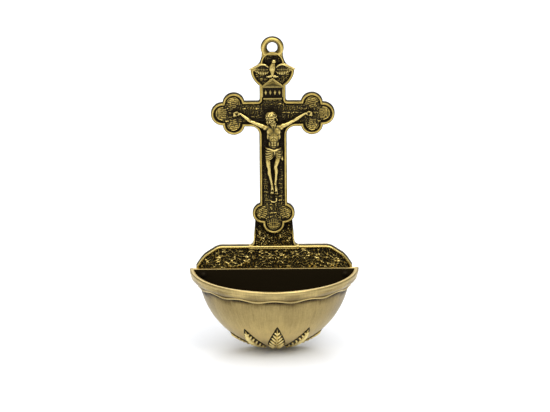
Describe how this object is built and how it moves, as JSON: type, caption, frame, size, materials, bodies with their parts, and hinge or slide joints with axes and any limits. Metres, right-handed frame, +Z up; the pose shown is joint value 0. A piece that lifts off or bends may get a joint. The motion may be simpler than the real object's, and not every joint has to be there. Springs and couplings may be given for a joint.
{
  "type": "holy water font",
  "caption": "Small wall-hung holy water font in antiqued cast brass: a budded cross with a relief figure, dove and titulus over a half-round basin with a draped rim and palm leaves.",
  "frame": {"origin": "the wall point behind the centre of the hanging eye", "axes": "+Z up along the shaft of the cross, -Y towards the room, +X to the viewer's right; the wall is the plane y = 0"},
  "size_m": [0.062, 0.0336, 0.118],
  "materials": {
    "bright_brass": "cast relief, polished on the high edges, dark antique patina in the recesses",
    "satin_brass": "satin, finely brushed downwards, slightly toned",
    "dark_brass": "dark antique patina",
    "rivet_brass": "toned, lightly worn"
  },
  "bodies": {
    "root": {"wall_plate": "bright_brass", "cross_plate": "bright_brass", "cross_rivet_1": "rivet_brass", "cross_rivet_2": "rivet_brass", "dove": "bright_brass", "titulus": "bright_brass", "corpus": "bright_brass", "foot_ledge": "bright_brass", "hand_nail_left": "dark_brass", "hand_nail_right": "dark_brass", "foot_nail_left": "dark_brass", "foot_nail_right": "dark_brass", "bowl": "satin_brass", "rim_drape": "satin_brass", "bowl_rivet_left": "rivet_brass", "bowl_rivet_right": "rivet_brass", "palm_leaf_1": "bright_brass", "palm_leaf_2": "bright_brass", "palm_leaf_3": "bright_brass", "palm_leaf_4": "bright_brass", "palm_leaf_5": "bright_brass"}
  },
  "joints": []
}
